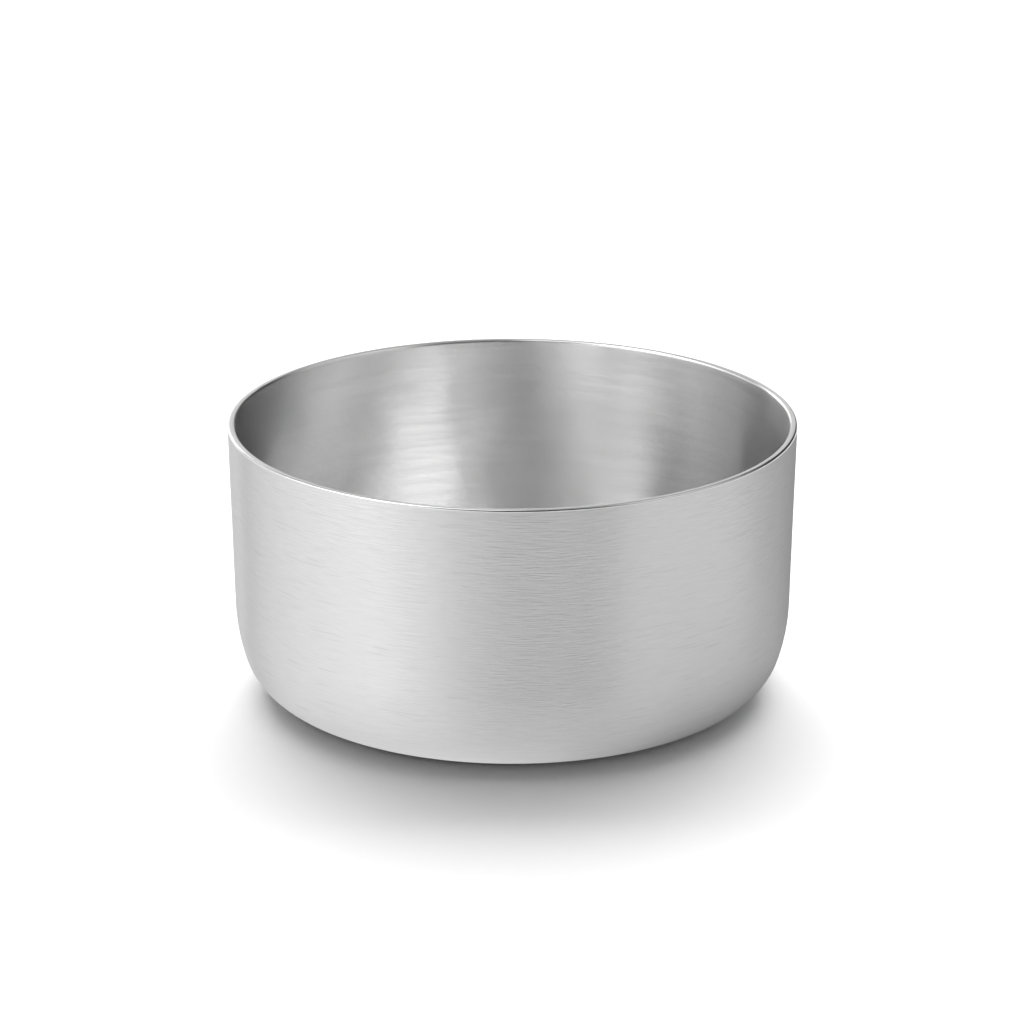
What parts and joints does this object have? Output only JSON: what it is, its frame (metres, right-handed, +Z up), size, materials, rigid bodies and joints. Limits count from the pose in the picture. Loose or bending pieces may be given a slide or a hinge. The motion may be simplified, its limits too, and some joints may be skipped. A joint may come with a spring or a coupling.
{
  "type": "puja bowl",
  "caption": "Small round puja bowl in satin silver-coloured metal: flat base, rounded belly, near-upright wall and an open mouth with a plain flat lip, to hold offerings.",
  "frame": {"origin": "centre of the flat base, on the surface that the bowl stands on", "axes": "+Z up along the bowl's axis, towards the mouth; the bowl is round, so X and Y may point anywhere"},
  "size_m": [0.075, 0.075, 0.037],
  "materials": {
    "satin_silver": "satin, brushed round the axis, with polished lip edges"
  },
  "bodies": {
    "root": {"bowl": "satin_silver"}
  },
  "joints": []
}
